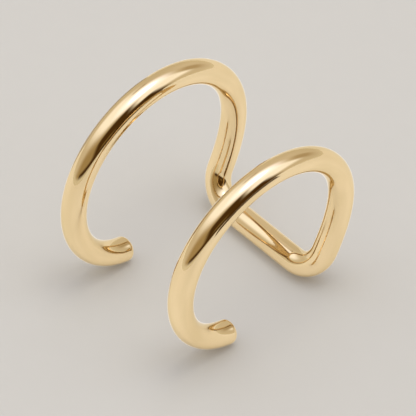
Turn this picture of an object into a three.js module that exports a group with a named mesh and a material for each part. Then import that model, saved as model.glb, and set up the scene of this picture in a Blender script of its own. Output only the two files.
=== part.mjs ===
// A double-hoop ear cuff: one polished round wire with softened ends.
// From one tip the wire goes over an open hoop, turns a tight corner into a straight bar, turns
// up again and goes over a second hoop, the mirror image of the first. It rests on the bar and
// the two tips, and the rim of the ear goes in through the mouth between the bar and the tips.
// Millimetres, +Z up, +X along the bar, +Y from the tips to the bar. The origin lies on the
// resting surface, under the middle of the cuff.

import * as THREE from "three";

// Driving dimensions, in millimetres and degrees
const WIRE_DIAMETER = 1.3;
const HOOP_SPACING = 7.7; // between the middles of the two hoops, at the bar
const CORNER_RADIUS = 1.53; // of the wire's middle line, where the bar turns up into a hoop
const HOOP_RADIUS = 5.1; // of the wire's middle line, as a mean over the whole hoop
const RISE_ANGLE = 63; // at which a hoop leaves its corner, above level and away from the tips
const TIP_DROP = 8; // at which each tip points back towards the bar, below level
const HOOP_LEAN = 1.65; // of each hoop's plane, outwards from upright
const TIP_ROUNDING = 0.35; // radius of the softened edge round each end of the wire

// How hard the wire is bent along a hoop, from the corner at 0 to the tip at 1. A bend of 1 is
// the mean radius, and the bend changes evenly between two rows.
const HOOP_BENDS = [
  { along: 0, bend: 0.34 },
  { along: 1 / 6, bend: 1.13 },
  { along: 2 / 6, bend: 1.04 },
  { along: 3 / 6, bend: 0.86 },
  { along: 4 / 6, bend: 0.97 },
  { along: 5 / 6, bend: 1.11 },
  { along: 1, bend: 1.45 },
];

// Fineness of the facets
const WIRE_SIDES = 28;
const DEGREES_PER_RING = 6.5; // of bend, from one ring of facets to the next
const ROUNDING_RINGS = 5; // over the softened edge
const BAR_RINGS = 4; // over each half of the straight bar
const WALK_STEP = 0.02; // in millimetres, between two stations of the wire's route

// Colours of polished yellow gold
const GOLD = { color: 0xe3bf78, metalness: 1, roughness: 0.12 };

const wireRadius = WIRE_DIAMETER / 2;
const tipRounding = Math.min(TIP_ROUNDING, wireRadius);
const hoopTurn = THREE.MathUtils.degToRad(360 - TIP_DROP - RISE_ANGLE);
const lean = THREE.MathUtils.degToRad(HOOP_LEAN);

const alongBar = new THREE.Vector3(1, 0, 0);
const hoopAxis = new THREE.Vector3(Math.cos(lean), 0, -Math.sin(lean));
const riseHeading = new THREE.Vector3(0, 1, 0).applyAxisAngle(
  hoopAxis,
  THREE.MathUtils.degToRad(RISE_ANGLE),
);
const cornerAxis = alongBar.clone().cross(riseHeading).normalize();
const cornerTurn = alongBar.angleTo(riseHeading);

// The mean of the bend over a hoop, which scales the table so that the hoop turns as far as named
function meanBend(rows) {
  let sum = 0;
  for (let i = 1; i < rows.length; i++) {
    sum += ((rows[i].bend + rows[i - 1].bend) / 2) * (rows[i].along - rows[i - 1].along);
  }
  return sum;
}

// The bend at a share of the hoop's length, as a multiple of the mean
function bendAt(share) {
  const next = Math.max(
    HOOP_BENDS.findIndex((row) => row.along >= share),
    1,
  );
  const [a, b] = [HOOP_BENDS[next - 1], HOOP_BENDS[next]];
  const bend = THREE.MathUtils.mapLinear(share, a.along, b.along, a.bend, b.bend);
  return bend / meanBend(HOOP_BENDS);
}

// The stretches of half the wire, from the middle of the bar out to one tip
function wireStretches() {
  return [
    {
      length: HOOP_SPACING / 2 - CORNER_RADIUS,
      axis: cornerAxis,
      curvature: () => 0,
      rings: BAR_RINGS,
    },
    {
      length: CORNER_RADIUS * cornerTurn,
      axis: cornerAxis,
      curvature: () => 1 / CORNER_RADIUS,
      rings: ringsFor(cornerTurn),
    },
    {
      length: HOOP_RADIUS * hoopTurn,
      axis: hoopAxis,
      curvature: (share) => bendAt(share) / HOOP_RADIUS,
      rings: ringsFor(hoopTurn),
    },
  ];
}

// How many rings of facets a bend of this many radians gets
function ringsFor(turn) {
  return Math.ceil(THREE.MathUtils.radToDeg(turn) / DEGREES_PER_RING);
}

// Walks along the stretches and notes a station at each small step: its distance from the middle
// of the bar, its place, and the turn that carries a straight rod's own axes, with the rod along
// +Y, to the wire's axes there
function walkWire(stretches) {
  const place = new THREE.Vector3();
  const turn = new THREE.Quaternion().setFromAxisAngle(
    new THREE.Vector3(0, 0, 1),
    -Math.PI / 2,
  );
  const stations = [{ distance: 0, place: place.clone(), turn: turn.clone() }];
  let distance = 0;
  for (const { length, axis, curvature } of stretches) {
    const steps = Math.ceil(length / WALK_STEP);
    const step = length / steps;
    for (let i = 0; i < steps; i++) {
      const half = (curvature((i + 0.5) / steps) * step) / 2;
      const halfTurn = new THREE.Quaternion().setFromAxisAngle(axis, half);
      turn.premultiply(halfTurn);
      place.addScaledVector(new THREE.Vector3(0, 1, 0).applyQuaternion(turn), step);
      turn.premultiply(halfTurn);
      distance += step;
      stations.push({ distance, place: place.clone(), turn: turn.clone() });
    }
  }
  return stations;
}

// The wire's place and turn at any distance from the middle of the bar, up to the tip
function stationAt(stations, askedDistance) {
  const distance = Math.min(askedDistance, stations.at(-1).distance);
  const next = Math.max(
    stations.findIndex((station) => station.distance >= distance),
    1,
  );
  const [a, b] = [stations[next - 1], stations[next]];
  const share = THREE.MathUtils.inverseLerp(a.distance, b.distance, distance);
  return {
    place: a.place.clone().lerp(b.place, share),
    turn: a.turn.clone().slerp(b.turn, share),
  };
}

// Where the rings of facets lie along half the wire, as distances from the middle of the bar,
// up to where the softened edge of the tip begins
function ringDistances(stretches, halfLength) {
  const distances = [0];
  let start = 0;
  for (const { length, rings } of stretches) {
    for (let i = 1; i <= rings; i++) {
      distances.push(start + (length * i) / rings);
    }
    start += length;
  }
  const spacing = distances.at(-1) - distances.at(-2);
  const roundingStart = halfLength - tipRounding;
  return [...distances.filter((d) => d < roundingStart - spacing / 2), roundingStart];
}

// The straight rod before it is bent: a profile of distance along the rod and radius, which
// starts and ends on the rod's own axis
function rodProfile(stretches, halfLength) {
  const half = ringDistances(stretches, halfLength).map(
    (distance) => new THREE.Vector2(wireRadius, distance),
  );
  for (let i = 1; i <= ROUNDING_RINGS; i++) {
    const angle = (i / ROUNDING_RINGS) * (Math.PI / 2);
    half.push(
      new THREE.Vector2(
        wireRadius - tipRounding * (1 - Math.cos(angle)),
        halfLength - tipRounding * (1 - Math.sin(angle)),
      ),
    );
  }
  if (half.at(-1).x > 0) {
    half.push(new THREE.Vector2(0, halfLength));
  }
  const otherHalf = half
    .slice(1)
    .reverse()
    .map((point) => new THREE.Vector2(point.x, -point.y));
  return [...otherHalf, ...half];
}

// Bends a straight rod, whose middle is at the origin and whose axis is Y, along the wire's
// route. The half at negative Y is the mirror image of the other.
function bendRod(geometry, stations) {
  const position = geometry.getAttribute("position");
  for (let i = 0; i < position.count; i++) {
    const alongRod = position.getY(i);
    const { place, turn } = stationAt(stations, Math.abs(alongRod));
    const point = new THREE.Vector3(position.getX(i), 0, position.getZ(i))
      .applyQuaternion(turn)
      .add(place);
    if (alongRod < 0) {
      point.x = -point.x;
    }
    position.setXYZ(i, point.x, point.y, point.z);
  }
  geometry.computeVertexNormals();
  return geometry;
}

// How far the cuff turns about its bar before its tips meet the surface that the bar lies on
function restingTurn(geometry) {
  const position = geometry.getAttribute("position");
  let turn = Infinity;
  for (let i = 0; i < position.count; i++) {
    const towardsTips = -position.getY(i);
    if (towardsTips > WIRE_DIAMETER) {
      const height = position.getZ(i);
      const reach = Math.hypot(towardsTips, height);
      turn = Math.min(turn, Math.atan2(height, towardsTips) + Math.asin(wireRadius / reach));
    }
  }
  return turn;
}

// The whole cuff, resting on the surface at z = 0 with the middle of its box over the origin
function makeCuff() {
  const stretches = wireStretches();
  const stations = walkWire(stretches);
  const rod = new THREE.LatheGeometry(
    rodProfile(stretches, stations.at(-1).distance),
    WIRE_SIDES,
  );
  const mesh = new THREE.Mesh(bendRod(rod, stations), new THREE.MeshStandardMaterial(GOLD));
  mesh.name = "cuff_wire";
  mesh.rotation.x = restingTurn(mesh.geometry);
  mesh.updateMatrixWorld();

  const box = new THREE.Box3().setFromObject(mesh, true);
  const middle = box.getCenter(new THREE.Vector3());
  mesh.position.set(-middle.x, -middle.y, -box.min.z);
  return mesh;
}

const earCuff = new THREE.Group();
earCuff.add(makeCuff());

export default earCuff;
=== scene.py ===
"""A double-hoop ear cuff of polished gold wire, on a pale floor inside a soft light tent.

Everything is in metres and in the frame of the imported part: +X along the bar, +Y from the tips
to the bar, +Z up. Sizes that are written in millimetres say so in their names, and the angles
that are kept as fields are in degrees.
"""

import logging
import math
from bisect import bisect_left
from dataclasses import dataclass, field
from enum import Enum, IntEnum

import bpy
from mathutils import Matrix, Quaternion, Vector


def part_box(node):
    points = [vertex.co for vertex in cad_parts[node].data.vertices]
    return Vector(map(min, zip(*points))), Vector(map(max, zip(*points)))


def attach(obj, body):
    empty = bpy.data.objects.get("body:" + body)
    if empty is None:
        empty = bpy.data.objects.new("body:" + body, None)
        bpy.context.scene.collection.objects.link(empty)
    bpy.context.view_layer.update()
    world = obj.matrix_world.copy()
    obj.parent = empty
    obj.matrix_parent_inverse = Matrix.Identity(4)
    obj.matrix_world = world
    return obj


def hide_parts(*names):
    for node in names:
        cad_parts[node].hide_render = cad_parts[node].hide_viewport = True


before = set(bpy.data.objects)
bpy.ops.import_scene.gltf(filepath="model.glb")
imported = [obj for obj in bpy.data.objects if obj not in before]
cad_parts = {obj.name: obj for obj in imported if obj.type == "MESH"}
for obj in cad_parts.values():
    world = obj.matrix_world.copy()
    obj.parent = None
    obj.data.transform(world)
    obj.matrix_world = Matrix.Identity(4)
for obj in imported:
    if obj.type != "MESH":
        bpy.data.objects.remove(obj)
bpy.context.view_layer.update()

MM = 0.001
Colour = tuple[float, float, float]
Triple = tuple[float, float, float]

logger = logging.getLogger("ear_cuff")


class Tone(Enum):
    """What a card of the light tent looks like, as linear red, green and blue radiance."""

    LAMP = (5.6, 5.8, 6.2)
    SOFTBOX = (1.87, 2.04, 3.0)
    WHITE = (1.5, 1.63, 2.05)
    SWEEP = (0.95, 0.96, 0.95)
    BACKDROP = (0.866, 0.84, 0.81)
    FLOOR = (0.637, 0.61, 0.575)
    FAWN = (0.62, 0.54, 0.42)
    TAN = (0.5, 0.4, 0.235)
    BROWN = (0.27, 0.2, 0.08)
    DARK_BROWN = (0.09, 0.046, 0.011)


@dataclass(frozen=True)
class Grain:
    """A noise pattern, and the two levels of it between which a finish changes."""

    scale: float
    detail: float
    roughness: float
    levels: tuple[float, float]


class NodeSketch:
    """A node tree that is written as short expressions."""

    # A Mix node has sockets for each type of value, and these are the ones that blend colours.
    MIX_SHARE, MIX_FIRST, MIX_SECOND = 0, 6, 7
    MIX_RESULT = 2

    def __init__(self, tree: bpy.types.NodeTree) -> None:
        """Empty the tree and keep it.

        Args:
            tree: The node tree of a material or of the world.
        """
        self.tree = tree
        tree.nodes.clear()

    def node(self, kind: str, **settings: object) -> bpy.types.Node:
        """Add a node.

        Args:
            kind: The node's type, such as "ShaderNodeMath".
            settings: Properties of the node to set.

        Returns:
            The new node.
        """
        made = self.tree.nodes.new(kind)
        for name, value in settings.items():
            setattr(made, name, value)
        return made

    def feed(self, socket: bpy.types.NodeSocket, value: object) -> None:
        """Link a value to a socket, or set the socket where the value is a constant.

        Args:
            socket: The input to feed.
            value: An output socket, a number or a tuple.
        """
        if isinstance(value, bpy.types.NodeSocket):
            self.tree.links.new(value, socket)
        else:
            socket.default_value = value

    def calculate(self, operation: str, *values: object) -> bpy.types.NodeSocket:
        """Do one operation on numbers.

        Args:
            operation: The operation's name, such as "MULTIPLY".
            values: Sockets or numbers.

        Returns:
            The result's socket.
        """
        made = self.node("ShaderNodeMath", operation=operation)
        for socket, value in zip(made.inputs, values):
            self.feed(socket, value)
        return made.outputs["Value"]

    def dot(self, vector: bpy.types.NodeSocket, other: Triple) -> bpy.types.NodeSocket:
        """Take the dot product of a vector and a constant one.

        Args:
            vector: The vector's socket.
            other: The constant vector.

        Returns:
            The product's socket.
        """
        made = self.node("ShaderNodeVectorMath", operation="DOT_PRODUCT")
        self.feed(made.inputs[0], vector)
        self.feed(made.inputs[1], other)
        return made.outputs["Value"]

    def ramp(
        self, value: object, start: float, end: float, low: float = 0.0, high: float = 1.0
    ) -> bpy.types.NodeSocket:
        """Turn a value smoothly from one level to another.

        Args:
            value: The socket that drives the change.
            start: The value at which the change begins.
            end: The value at which the change is done.
            low: The level before the change.
            high: The level after it.

        Returns:
            The level's socket.
        """
        made = self.node("ShaderNodeMapRange", interpolation_type="SMOOTHSTEP")
        for socket, constant in zip(made.inputs, (value, start, end, low, high)):
            self.feed(socket, constant)
        return made.outputs["Result"]

    def mix(
        self, share: object, first: object, second: object
    ) -> bpy.types.NodeSocket:
        """Blend two colours.

        Args:
            share: The second colour's share.
            first: A colour or its socket.
            second: A colour or its socket.

        Returns:
            The blend's socket.
        """
        made = self.node("ShaderNodeMix", data_type="RGBA", clamp_factor=True)
        self.feed(made.inputs[self.MIX_SHARE], share)
        self.feed(made.inputs[self.MIX_FIRST], first)
        self.feed(made.inputs[self.MIX_SECOND], second)
        return made.outputs[self.MIX_RESULT]

    def stretch(self, vector: bpy.types.NodeSocket, scale: Triple) -> bpy.types.NodeSocket:
        """Scale a vector by another amount along each axis.

        Args:
            vector: The vector's socket.
            scale: The amount along each axis.

        Returns:
            The scaled vector's socket.
        """
        made = self.node("ShaderNodeMapping")
        self.feed(made.inputs["Vector"], vector)
        made.inputs["Scale"].default_value = scale
        return made.outputs["Vector"]

    def noise(self, vector: bpy.types.NodeSocket, grain: Grain) -> bpy.types.NodeSocket:
        """Add a noise texture.

        Args:
            vector: Where the noise is looked up.
            grain: The pattern.

        Returns:
            The noise's socket, around 0.5.
        """
        made = self.node("ShaderNodeTexNoise")
        self.feed(made.inputs["Vector"], vector)
        made.inputs["Scale"].default_value = grain.scale
        made.inputs["Detail"].default_value = grain.detail
        made.inputs["Roughness"].default_value = grain.roughness
        return made.outputs["Fac"]

    def show(self, output_kind: str, shader: bpy.types.NodeSocket) -> None:
        """Send a shader to the tree's output.

        Args:
            output_kind: The output node's type.
            shader: The shader's socket.
        """
        self.feed(self.node(output_kind).inputs["Surface"], shader)


@dataclass(frozen=True)
class Bend:
    """One row of the hoop's bend table: how hard the wire is bent at a share of its length."""

    along: float
    bend: float


@dataclass(frozen=True)
class Station:
    """A place on the wire's middle line, and the turn from a straight rod along +Y to it."""

    distance: float
    place: Vector
    turn: Quaternion


@dataclass(frozen=True)
class Stretch:
    """A part of half the wire that bends about one axis."""

    length: float
    axis: Vector
    bends: tuple[Bend, ...]
    radius: float

    def curvature(self, share: float) -> float:
        """Find how hard the wire bends.

        Args:
            share: Where along the stretch, from 0 to 1.

        Returns:
            The curvature, in radians per metre.
        """
        if not self.bends:
            return 0.0
        rows = self.bends
        mean = sum(
            (after.bend + before.bend) / 2 * (after.along - before.along)
            for before, after in zip(rows, rows[1:])
        )
        index = min(max(bisect_left([row.along for row in rows], share), 1), len(rows) - 1)
        before, after = rows[index - 1], rows[index]
        part = (share - before.along) / (after.along - before.along)
        return (before.bend + (after.bend - before.bend) * part) / mean / self.radius


@dataclass(frozen=True)
class WireRoute:
    """The cuff's sizes and the route that they give the middle line of its wire."""

    wire_diameter_mm: float = 1.3
    hoop_spacing_mm: float = 7.7
    corner_radius_mm: float = 1.53
    hoop_radius_mm: float = 5.1
    rise_angle: float = 63.0
    tip_drop: float = 8.0
    hoop_lean: float = 1.65
    tip_rounding_mm: float = 0.35
    walk_step_mm: float = 0.02
    hoop_bends: tuple[Bend, ...] = (
        Bend(0, 0.34),
        Bend(1 / 6, 1.13),
        Bend(2 / 6, 1.04),
        Bend(3 / 6, 0.86),
        Bend(4 / 6, 0.97),
        Bend(5 / 6, 1.11),
        Bend(1, 1.45),
    )

    def stretches(self) -> list[Stretch]:
        """List the parts of half the wire, from the middle of the bar to a tip.

        Returns:
            The straight half of the bar, the corner and the hoop.
        """
        lean = math.radians(self.hoop_lean)
        along_bar = Vector((1, 0, 0))
        hoop_axis = Vector((math.cos(lean), 0, -math.sin(lean)))
        rise = Vector((0, 1, 0))
        rise.rotate(Quaternion(hoop_axis, math.radians(self.rise_angle)))
        corner_turn = along_bar.angle(rise)
        corner_axis = along_bar.cross(rise).normalized()
        corner_radius = self.corner_radius_mm * MM
        hoop_radius = self.hoop_radius_mm * MM
        hoop_turn = math.radians(360 - self.tip_drop - self.rise_angle)
        even = (Bend(0, 1), Bend(1, 1))
        return [
            Stretch(self.hoop_spacing_mm * MM / 2 - corner_radius, corner_axis, (), corner_radius),
            Stretch(corner_radius * corner_turn, corner_axis, even, corner_radius),
            Stretch(hoop_radius * hoop_turn, hoop_axis, self.hoop_bends, hoop_radius),
        ]

    def walk(self) -> list[Station]:
        """Walk along half the wire in small steps.

        Returns:
            A station at each step, from the middle of the bar to the +X tip.
        """
        place = Vector((0, 0, 0))
        turn = Quaternion((0, 0, 1), -math.pi / 2)
        distance = 0.0
        stations = [Station(distance, place.copy(), turn.copy())]
        for stretch in self.stretches():
            steps = math.ceil(stretch.length / (self.walk_step_mm * MM))
            step = stretch.length / steps
            for i in range(steps):
                bend = stretch.curvature((i + 0.5) / steps) * step
                half_turn = Quaternion(stretch.axis, bend / 2)
                turn = half_turn @ turn
                place = place + turn @ Vector((0, step, 0))
                turn = half_turn @ turn
                distance += step
                stations.append(Station(distance, place.copy(), turn.copy()))
        return stations


@dataclass(frozen=True)
class PolishedGold:
    """Polished pale-yellow gold with the faint lengthwise marks and bands of a buffed wire."""

    base: Colour = (0.705, 0.524, 0.278)
    deeper: Colour = (0.64, 0.472, 0.24)
    edge: Colour = (0.84, 0.79, 0.66)
    roughness: float = 0.035
    roughness_spread: float = 0.035
    marks: Grain = Grain(scale=3.0, detail=4.0, roughness=0.6, levels=(0.3, 0.75))
    mark_stretch: Triple = (0.35, 9.0, 1.0)
    mark_height_mm: float = 0.0012
    mark_strength: float = 0.35
    bands: Grain = Grain(scale=0.9, detail=2.0, roughness=0.45, levels=(0.3, 0.7))
    band_stretch: Triple = (0.3, 1.6, 1.0)

    def material(self) -> bpy.types.Material:
        """Make the material.

        Returns:
            The material, which reads the wire's own UV map in millimetres.
        """
        made = bpy.data.materials.new("polished_gold")
        made.use_nodes = True
        sketch = NodeSketch(made.node_tree)
        uv = sketch.node("ShaderNodeUVMap", uv_map="wire_mm").outputs["UV"]
        marks = sketch.noise(sketch.stretch(uv, self.mark_stretch), self.marks)
        bands = sketch.noise(sketch.stretch(uv, self.band_stretch), self.bands)

        shader = sketch.node("ShaderNodeBsdfPrincipled")
        shader.inputs["Metallic"].default_value = 1.0
        shader.inputs["Specular Tint"].default_value = (*self.edge, 1.0)
        share = sketch.ramp(bands, *self.bands.levels)
        colour = sketch.mix(share, (*self.base, 1.0), (*self.deeper, 1.0))
        sketch.feed(shader.inputs["Base Color"], colour)
        roughest = self.roughness + self.roughness_spread
        roughness = sketch.ramp(marks, *self.marks.levels, self.roughness, roughest)
        sketch.feed(shader.inputs["Roughness"], roughness)
        bump = sketch.node("ShaderNodeBump")
        bump.inputs["Strength"].default_value = self.mark_strength
        bump.inputs["Distance"].default_value = self.mark_height_mm * MM
        sketch.feed(bump.inputs["Height"], marks)
        sketch.feed(shader.inputs["Normal"], bump.outputs["Normal"])
        sketch.show("ShaderNodeOutputMaterial", shader.outputs["BSDF"])
        return made


@dataclass
class CuffWire:
    """The whole cuff: one round wire with softened ends, bent along its route."""

    route: WireRoute = field(default_factory=WireRoute)
    finish: PolishedGold = field(default_factory=PolishedGold)
    sides: int = 64
    degrees_per_ring: float = 1.25
    bar_rings: int = 12
    rounding_rings: int = 10
    flat_rings: int = 3

    @property
    def radius(self) -> float:
        """Give the wire's radius in metres."""
        return self.route.wire_diameter_mm * MM / 2

    def build(self) -> bpy.types.Object:
        """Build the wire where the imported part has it, and dress it.

        Returns:
            The wire's object.
        """
        stations = self.route.walk()
        profile = self.half_profile(stations[-1].distance)
        half = [(self.station_at(stations, along), along, radius) for along, radius in profile]
        rings = [(station, along, radius, False) for station, along, radius in half]
        mirrored = [(station, -along, radius, True) for station, along, radius in half[1:]]
        rings = mirrored[::-1] + rings

        points: list[Vector] = []
        for station, _, radius, is_mirrored in rings:
            points.extend(self.ring_points(station, radius, is_mirrored))
        first_tip, last_tip = len(points), len(points) + 1
        points.append(self.mirror(stations[-1].place))
        points.append(stations[-1].place.copy())
        self.seat(points)

        faces = self.faces(len(rings), first_tip, last_tip)
        mesh = bpy.data.meshes.new("cuff_wire_polished")
        mesh.from_pydata([tuple(point) for point in points], [], faces)
        mesh.polygons.foreach_set("use_smooth", [True] * len(mesh.polygons))
        self.unwrap(mesh, [along for _, along, _, _ in rings])
        mesh.materials.append(self.finish.material())
        mesh.update()

        wire = bpy.data.objects.new("cuff_wire_polished", mesh)
        bpy.context.scene.collection.objects.link(wire)
        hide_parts("cuff_wire")
        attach(wire, "root")
        return wire

    def half_profile(self, half_length: float) -> list[tuple[float, float]]:
        """Lay out the rings of half the wire.

        Args:
            half_length: The distance from the middle of the bar to the end of a tip.

        Returns:
            Each ring's distance from the middle of the bar, and its radius.
        """
        rounding = self.route.tip_rounding_mm * MM
        distances = [0.0]
        start = 0.0
        for stretch in self.route.stretches():
            turn = stretch.length / stretch.radius if stretch.bends else 0.0
            count = math.ceil(math.degrees(turn) / self.degrees_per_ring) or self.bar_rings
            distances += [start + stretch.length * (i + 1) / count for i in range(count)]
            start += stretch.length
        spacing = distances[-1] - distances[-2]
        body_end = half_length - rounding
        last_ring = body_end - spacing / 2
        profile = [(distance, self.radius) for distance in distances if distance < last_ring]
        for i in range(self.rounding_rings + 1):
            angle = i / self.rounding_rings * math.pi / 2
            inset = rounding * (1 - math.cos(angle))
            profile.append((body_end + rounding * math.sin(angle), self.radius - inset))
        flat = self.radius - rounding
        for i in range(1, self.flat_rings):
            profile.append((half_length, flat * (1 - i / self.flat_rings)))
        return profile

    def station_at(self, stations: list[Station], distance: float) -> Station:
        """Find the wire's place and turn at a distance.

        Args:
            stations: The stations of half the wire.
            distance: How far from the middle of the bar.

        Returns:
            The station there.
        """
        index = bisect_left(stations, distance, key=lambda station: station.distance)
        index = min(max(index, 1), len(stations) - 1)
        before, after = stations[index - 1], stations[index]
        share = (distance - before.distance) / (after.distance - before.distance)
        share = min(max(share, 0.0), 1.0)
        return Station(
            distance,
            before.place.lerp(after.place, share),
            before.turn.slerp(after.turn, share),
        )

    def ring_points(self, station: Station, radius: float, is_mirrored: bool) -> list[Vector]:
        """Place the points of one ring.

        Args:
            station: The place and turn of the wire at the ring.
            radius: The ring's radius.
            is_mirrored: Whether the ring is on the -X half of the cuff.

        Returns:
            The ring's points, in order round the wire.
        """
        points = []
        for i in range(self.sides):
            angle = 2 * math.pi * i / self.sides
            point = station.place + station.turn @ Vector(
                (radius * math.sin(angle), 0, radius * math.cos(angle))
            )
            points.append(self.mirror(point) if is_mirrored else point)
        return points

    def mirror(self, point: Vector) -> Vector:
        """Mirror a point across the middle of the bar."""
        return Vector((-point.x, point.y, point.z))

    def seat(self, points: list[Vector]) -> None:
        """Turn the wire about its bar until its tips meet the floor, and move it to its place.

        Args:
            points: The points of the wire, which are changed.
        """
        turn = min(
            math.atan2(point.z, -point.y) + math.asin(self.radius / math.hypot(point.y, point.z))
            for point in points
            if -point.y > 2 * self.radius
        )
        rotation = Matrix.Rotation(turn, 3, "X")
        for point in points:
            point.rotate(rotation)
        low = Vector(min(point[axis] for point in points) for axis in range(3))
        high = Vector(max(point[axis] for point in points) for axis in range(3))
        cad_low, cad_high = (Vector(corner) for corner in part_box("cuff_wire"))
        shift = (cad_low + cad_high - low - high) / 2
        shift.z = cad_low.z - low.z
        for point in points:
            point += shift

    def faces(self, ring_count: int, first_tip: int, last_tip: int) -> list[tuple[int, ...]]:
        """Join the rings with faces.

        Args:
            ring_count: How many rings there are.
            first_tip: The number of the point in the middle of the first tip.
            last_tip: The number of the point in the middle of the last tip.

        Returns:
            The corners of each face.
        """
        faces: list[tuple[int, ...]] = []
        for ring in range(ring_count - 1):
            start, after = ring * self.sides, (ring + 1) * self.sides
            for i in range(self.sides):
                j = (i + 1) % self.sides
                faces.append((start + i, start + j, after + j, after + i))
        end = (ring_count - 1) * self.sides
        for i in range(self.sides):
            j = (i + 1) % self.sides
            faces.append((first_tip, j, i))
            faces.append((last_tip, end + i, end + j))
        return faces

    def unwrap(self, mesh: bpy.types.Mesh, distances: list[float]) -> None:
        """Give the wire a UV map in millimetres: along the wire, and round it.

        Args:
            mesh: The wire's mesh.
            distances: Each ring's distance along the wire.
        """
        uv = mesh.uv_layers.new(name="wire_mm")
        girth = 2 * math.pi * self.radius / MM
        ring_points = len(distances) * self.sides
        for polygon in mesh.polygons:
            corners = [mesh.loops[i].vertex_index for i in polygon.loop_indices]
            columns = [corner % self.sides for corner in corners if corner < ring_points]
            wraps = max(columns) - min(columns) > 1
            for loop, corner in zip(polygon.loop_indices, corners):
                if corner < ring_points:
                    along = distances[corner // self.sides]
                    column = corner % self.sides
                    if wraps and column == 0:
                        column = self.sides
                else:
                    along = distances[0] if corner == ring_points else distances[-1]
                    column = columns[0]
                uv.data[loop].uv = (along / MM, girth * column / self.sides)


@dataclass(frozen=True)
class Paper:
    """Smooth paper with a faint grain, and a glow that the paper gives off itself, which is painted
    light.
    """

    name: str
    colour: Colour
    glow: Colour
    roughness: float = 0.5
    grain: Grain = Grain(scale=900.0, detail=3.0, roughness=0.5, levels=(0.2, 0.8))
    grain_shade: float = 0.99

    def material(self) -> bpy.types.Material:
        """Make the paper's material.

        Returns:
            The material.
        """
        made = bpy.data.materials.new(self.name)
        made.use_nodes = True
        sketch = NodeSketch(made.node_tree)
        place = sketch.node("ShaderNodeTexCoord").outputs["Object"]
        share = sketch.ramp(sketch.noise(place, self.grain), *self.grain.levels)
        darker = tuple(self.grain_shade * level for level in self.colour)
        shader = sketch.node("ShaderNodeBsdfPrincipled")
        shader.inputs["Roughness"].default_value = self.roughness
        # Painted light: the paper's own glow, added evenly whether it is shadowed or not.
        shader.inputs["Emission Color"].default_value = (*self.glow, 1.0)
        shader.inputs["Emission Strength"].default_value = 1.0
        colour = sketch.mix(share, (*darker, 1.0), (*self.colour, 1.0))
        sketch.feed(shader.inputs["Base Color"], colour)
        sketch.show("ShaderNodeOutputMaterial", shader.outputs["BSDF"])
        return made


@dataclass(frozen=True)
class PaintedReflectionCard:
    """A paper card for a painted reflection, which lies on the floor out of the picture and only
    the gold's reflections show, with its azimuths in degrees.

    Azimuth is counted from +Y towards +X.
    """

    paper: Paper
    azimuth: float
    half_angle: float
    near_mm: float
    far_mm: float = 3000.0

    def corners(self) -> list[tuple[float, float]]:
        """Place the card's corners.

        Returns:
            The corners' places on the floor, in order round the card.
        """
        left = math.radians(self.azimuth - self.half_angle)
        right = math.radians(self.azimuth + self.half_angle)
        near, far = self.near_mm * MM, self.far_mm * MM
        return [
            (radius * math.sin(angle), radius * math.cos(angle))
            for radius, angle in ((near, left), (near, right), (far, right), (far, left))
        ]


class Layer(IntEnum):
    """How many sheets lie under a sheet of the floor."""

    SEEN = 0
    BOUNCE = 1
    PAINTED_REFLECTION_CARD = 2


@dataclass
class PaleFloor:
    """The plain surface that the cuff lies on.

    Close over the paper that is seen lie a lighter sheet and two darker cards, which only the
    gold's reflections show. They are painted reflections: the lighter sheet glows a little and
    makes the mirrored floor brighter than the seen one, and the cards darken the mirrored floor
    out of the picture, where the studio's sides are dark.
    """

    half_size: float = 3.0
    gap: float = 0.01 * MM
    # The seen paper's glow is painted light, which lightens the floor evenly and so softens the
    # cuff's shadows on it.
    seen: Paper = Paper("floor_paper", (0.39, 0.357, 0.28), (0.12, 0.115, 0.108))
    # Painted reflection: a lighter, glowing floor that only the gold's reflections show.
    painted_reflection: Paper = Paper("painted_reflection_paper", (0.705, 0.71, 0.675), (0.25, 0.25, 0.26))
    # Painted reflections: cards out of the picture that only the gold's reflections show, to darken
    # the mirrored floor there.
    cards: tuple[PaintedReflectionCard, ...] = (
        PaintedReflectionCard(
            Paper("left_painted_reflection", (0.38, 0.36, 0.32), (0.12, 0.115, 0.115)),
            azimuth=-84,
            half_angle=19,
            near_mm=17,
        ),
        PaintedReflectionCard(
            Paper("right_painted_reflection", (0.08, 0.05, 0.02), (0.0, 0.0, 0.0)),
            azimuth=79,
            half_angle=17,
            near_mm=45,
        ),
    )

    def build(self) -> bpy.types.Object:
        """Build the floor, level with the lowest point of the cuff.

        Returns:
            The floor's object.
        """
        half = self.half_size
        square = [(-half, -half), (half, -half), (half, half), (-half, half)]
        floor = self.sheet("pale_floor", self.seen, square, Layer.SEEN)
        # The gold's reflections skip the seen paper and show the painted reflection sheets over it.
        floor.visible_glossy = False
        mirrored = [self.sheet("painted_reflection_floor", self.painted_reflection, square, Layer.BOUNCE)]
        for card in self.cards:
            mirrored.append(self.sheet(card.paper.name, card.paper, card.corners(), Layer.PAINTED_REFLECTION_CARD))
        # Only the gold's reflections show the painted reflection sheets.
        for laid in mirrored:
            laid.visible_camera = False
            laid.visible_diffuse = False
            laid.visible_shadow = False
        return floor

    def sheet(
        self, name: str, paper: Paper, corners: list[tuple[float, float]], layer: Layer
    ) -> bpy.types.Object:
        """Lay one sheet of paper.

        Args:
            name: The sheet's name.
            paper: Its paper.
            corners: The places of its corners, in order round it.
            layer: The layer that it lies in.

        Returns:
            The sheet's object.
        """
        mesh = bpy.data.meshes.new(name)
        mesh.from_pydata([(x, y, layer * self.gap) for x, y in corners], [], [(0, 1, 2, 3)])
        mesh.materials.append(paper.material())
        laid = bpy.data.objects.new(name, mesh)
        bpy.context.scene.collection.objects.link(laid)
        return laid


class Outline(Enum):
    """The outline of a card, as it is seen from the cuff."""

    OBLONG = "oblong"
    ROUND = "round"


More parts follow.
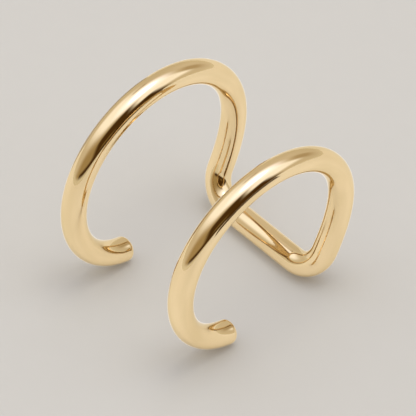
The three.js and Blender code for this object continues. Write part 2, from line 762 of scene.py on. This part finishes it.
@dataclass(frozen=True)
class Card:
    """A card or softbox of the light tent, as it is seen from the cuff, in degrees.

    Azimuth is counted from +Y towards +X. The roll turns the card clockwise as the cuff sees it,
    and the softness blurs its edge by that much to each side.
    """

    name: str
    tone: Tone
    outline: Outline
    azimuth: float
    elevation: float
    half_width: float
    half_height: float
    softness: float
    roll: float = 0.0

    def axes(self) -> tuple[Vector, Vector, Vector]:
        """Find the card's own directions.

        Returns:
            The directions to its right, to its top and to its middle, as the cuff sees them.
        """
        azimuth, elevation = math.radians(self.azimuth), math.radians(self.elevation)
        level = math.cos(elevation)
        middle = Vector(
            (math.sin(azimuth) * level, math.cos(azimuth) * level, math.sin(elevation))
        )
        right = Vector((math.cos(azimuth), -math.sin(azimuth), 0))
        top = right.cross(middle)
        rolled = Quaternion(middle, math.radians(self.roll))
        return rolled @ right, rolled @ top, middle

    def cover(
        self, sketch: NodeSketch, direction: bpy.types.NodeSocket
    ) -> bpy.types.NodeSocket:
        """Say how much of the tent the card covers in a direction.

        Args:
            sketch: The world's node tree.
            direction: The direction's socket.

        Returns:
            A socket between 0, off the card, and 1, on it.
        """
        right, top, middle = self.axes()
        ahead = sketch.dot(direction, tuple(middle))
        if self.outline is Outline.ROUND:
            return self.edge(sketch, sketch.calculate("ARCCOSINE", ahead), self.half_width)
        aside = sketch.calculate("ARCTAN2", sketch.dot(direction, tuple(right)), ahead)
        above = sketch.calculate("ARCTAN2", sketch.dot(direction, tuple(top)), ahead)
        return sketch.calculate(
            "MULTIPLY",
            self.edge(sketch, sketch.calculate("ABSOLUTE", aside), self.half_width),
            self.edge(sketch, sketch.calculate("ABSOLUTE", above), self.half_height),
        )

    def edge(
        self, sketch: NodeSketch, angle: bpy.types.NodeSocket, at: float
    ) -> bpy.types.NodeSocket:
        """Blur one pair of the card's edges.

        Args:
            sketch: The world's node tree.
            angle: The socket of the angle from the card's middle, in radians.
            at: Where the edge is, in degrees from the middle.

        Returns:
            The socket of the card's cover.
        """
        start, end = math.radians(at - self.softness), math.radians(at + self.softness)
        return sketch.ramp(angle, start, end, 1.0, 0.0)


@dataclass
class LightTent:
    """The soft surroundings that light the cuff and that its gold mirrors.

    Up to the foot's elevation the floor curves up into the backdrop. A later card of the list hides
    those before it. Where the floor's sheet ends, below the horizon, the tent has the floor's own
    tone.
    """

    foot_elevation: float = 8.0
    horizon_blur: float = 1.5
    # Name, tone, outline, azimuth, elevation, half width, half height, softness and roll
    cards: tuple[Card, ...] = (
        Card("rear_left_white", Tone.WHITE, Outline.OBLONG, -132, 60, 39, 23, 14, 40),
        Card("front_tan", Tone.TAN, Outline.OBLONG, 148, 22, 46, 29, 19, 10),
        Card("right_white", Tone.WHITE, Outline.OBLONG, 52, 40, 24, 20, 7, 12),
        Card("rear_fawn", Tone.FAWN, Outline.OBLONG, 8, 26, 12, 12, 8),
        Card("overhead_softbox", Tone.SOFTBOX, Outline.ROUND, 19, 80, 27, 27, 13),
        Card("softbox_frame", Tone.TAN, Outline.OBLONG, -71, 54, 7, 2.2, 1.8, 28),
        Card("lamp", Tone.LAMP, Outline.ROUND, 19, 80, 14, 14, 5),
        Card("camera_side_dark", Tone.DARK_BROWN, Outline.OBLONG, 113, 33, 22, 20, 7, 24),
        Card("right_dark", Tone.DARK_BROWN, Outline.OBLONG, 84, 12, 22, 17, 6, 18),
        Card("low_dark", Tone.DARK_BROWN, Outline.OBLONG, 116, 9, 54, 6, 4, -2),
        Card("brown_gap", Tone.BROWN, Outline.OBLONG, 106, 17, 8, 2.5, 3),
        Card("front_sweep", Tone.SWEEP, Outline.OBLONG, 160, -1, 70, 7, 3),
    )

    def build(self) -> bpy.types.World:
        """Hang the tent round the scene.

        Returns:
            The world that shows it.
        """
        world = bpy.data.worlds.new("light_tent")
        world.use_nodes = True
        sketch = NodeSketch(world.node_tree)
        direction = sketch.node("ShaderNodeTexCoord").outputs["Generated"]
        height = sketch.dot(direction, (0, 0, 1))
        foot = math.sin(math.radians(self.foot_elevation))
        colour = sketch.mix(
            sketch.ramp(height, 0.0, foot), (*Tone.SWEEP.value, 1.0), (*Tone.BACKDROP.value, 1.0)
        )
        for card in self.cards:
            cover = card.cover(sketch, direction)
            colour = sketch.mix(cover, colour, (*card.tone.value, 1.0))
            logger.info("hung %s", card.name)
        horizon = -math.sin(math.radians(self.horizon_blur))
        colour = sketch.mix(
            sketch.ramp(height, horizon, 0.0), (*Tone.FLOOR.value, 1.0), colour
        )
        background = sketch.node("ShaderNodeBackground")
        sketch.feed(background.inputs["Color"], colour)
        sketch.show("ShaderNodeOutputWorld", background.outputs["Background"])
        bpy.context.scene.world = world
        return world


@dataclass(frozen=True)
class StudioCamera:
    """A long lens that looks down at the cuff from the front right."""

    azimuth: float = 48.22
    elevation: float = 45.52
    distance: float = 0.86
    target_mm: Triple = (-2.465, 2.245, 1.547)
    lens_mm: float = 1508.8
    clip_start: float = 0.05
    clip_end: float = 20.0

    def build(self) -> bpy.types.Object:
        """Build the camera and look through it.

        Returns:
            The camera's object.
        """
        azimuth, elevation = math.radians(self.azimuth), math.radians(self.elevation)
        level = math.cos(elevation)
        right = Vector((math.cos(azimuth), math.sin(azimuth), 0))
        back = Vector(
            (math.sin(azimuth) * level, -math.cos(azimuth) * level, math.sin(elevation))
        )
        up = back.cross(right)
        data = bpy.data.cameras.new("studio_camera")
        data.lens = self.lens_mm
        data.clip_start = self.clip_start
        data.clip_end = self.clip_end
        camera = bpy.data.objects.new("studio_camera", data)
        axes = Matrix((right, up, back)).transposed().to_4x4()
        position = Vector(self.target_mm) * MM + back * self.distance
        camera.matrix_world = Matrix.Translation(position) @ axes
        bpy.context.scene.collection.objects.link(camera)
        bpy.context.scene.camera = camera
        return camera


def main() -> None:
    """Build the camera, the tent, the floor and the cuff."""
    logging.basicConfig(level=logging.INFO, format="%(message)s")
    bpy.context.scene.view_settings.view_transform = "Standard"
    for piece in (StudioCamera(), LightTent(), PaleFloor(), CuffWire()):
        made = piece.build()
        logger.info("built %s", made.name)


if __name__ == "__main__":
    main()
